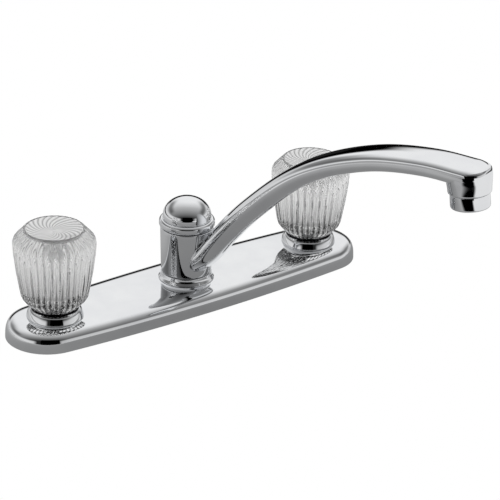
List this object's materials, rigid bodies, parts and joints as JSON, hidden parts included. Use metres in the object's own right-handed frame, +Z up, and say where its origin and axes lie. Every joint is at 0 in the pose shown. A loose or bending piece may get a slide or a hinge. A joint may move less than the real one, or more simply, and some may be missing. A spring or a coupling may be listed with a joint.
{
  "type": "two handle kitchen faucet",
  "caption": "Deck-mounted kitchen faucet: long plate on the sink, fluted clear knob on a valve at each end, high arched swivel spout on a middle post with a screwed aerator.",
  "frame": {"origin": "on the sink deck, at the underside of the deck gasket, on the spout post's axis", "axes": "+Z up along the spout post, +X towards the cold valve, -Y towards the user"},
  "size_m": [0.2682, 0.2355, 0.1923],
  "materials": {
    "chrome": "polished plating",
    "brass": "cast and machined",
    "copper": "drawn copper tube",
    "stainless_steel": "satin",
    "black_rubber": "matte",
    "white_plastic": "moulded",
    "grey_plastic": "moulded",
    "clear_acrylic": "clear, polished, fluted"
  },
  "bodies": {
    "base": {"deck_plate": "chrome", "deck_gasket": "black_rubber", "spout_hub": "brass", "lower_spout_oring": "black_rubber", "upper_spout_oring": "black_rubber", "foot_ring": "chrome", "spout_nut": "chrome", "dome_cap": "chrome", "valve_body_hot": "brass", "cross_tube_hot": "copper", "valve_seat_hot": "black_rubber", "seat_spring_hot": "stainless_steel", "stem_sleeve_hot": "white_plastic", "bonnet_hot": "chrome", "deck_washer_hot": "stainless_steel", "wing_nut_hot": "grey_plastic", "valve_body_cold": "brass", "cross_tube_cold": "copper", "valve_seat_cold": "black_rubber", "seat_spring_cold": "stainless_steel", "stem_sleeve_cold": "white_plastic", "bonnet_cold": "chrome", "deck_washer_cold": "stainless_steel", "wing_nut_cold": "grey_plastic"},
    "spout": {"spout": "chrome", "aerator_housing": "chrome", "aerator_washer": "black_rubber", "aerator_insert": "white_plastic", "aerator_screen": "stainless_steel"},
    "hot_handle": {"stem_hot": "stainless_steel", "stem_oring_hot": "black_rubber", "knob_hot": "clear_acrylic", "knob_cap_hot": "clear_acrylic", "handle_screw_hot": "stainless_steel"},
    "cold_handle": {"stem_cold": "stainless_steel", "stem_oring_cold": "black_rubber", "knob_cold": "clear_acrylic", "knob_cap_cold": "clear_acrylic", "handle_screw_cold": "stainless_steel"}
  },
  "joints": [
    {"name": "spout_swivel", "type": "hinge", "parent": "base", "child": "spout", "pos_m": [0, 0, 0.034], "axis": [0, 0, 1], "continuous": true},
    {"name": "hot_handle_turn", "type": "hinge", "parent": "base", "child": "hot_handle", "pos_m": [-0.1016, 0, 0.022], "axis": [0, 0, 1], "range_deg": [0, 90]},
    {"name": "cold_handle_turn", "type": "hinge", "parent": "base", "child": "cold_handle", "pos_m": [0.1016, 0, 0.022], "axis": [0, 0, 1], "range_deg": [-90, 0]}
  ]
}
